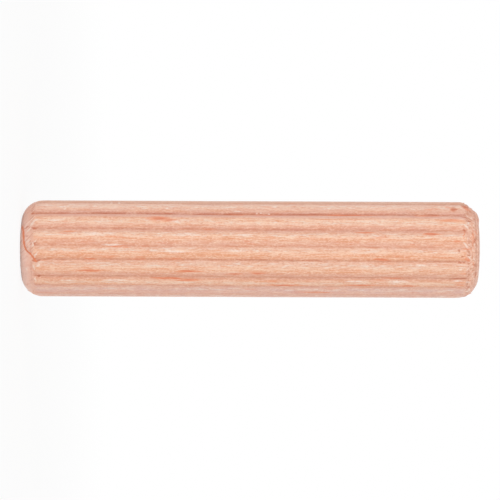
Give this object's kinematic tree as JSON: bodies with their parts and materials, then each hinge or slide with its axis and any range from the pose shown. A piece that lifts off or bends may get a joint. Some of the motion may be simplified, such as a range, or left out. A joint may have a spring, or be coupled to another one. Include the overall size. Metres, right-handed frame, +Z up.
{
  "type": "wooden dowel pin",
  "caption": "Straight wooden dowel pin with fluted barrel and rounded ends, glued or pressed into drilled holes to join panels.",
  "frame": {"origin": "centre of the sawn end that the pin stands on", "axes": "+Z up along the pin's axis, towards the other sawn end; +X through the middle of a ridge between two flutes"},
  "size_m": [0.008, 0.008, 0.038],
  "materials": {
    "wood": "matte"
  },
  "bodies": {
    "root": {"dowel_pin": "wood"}
  },
  "joints": []
}
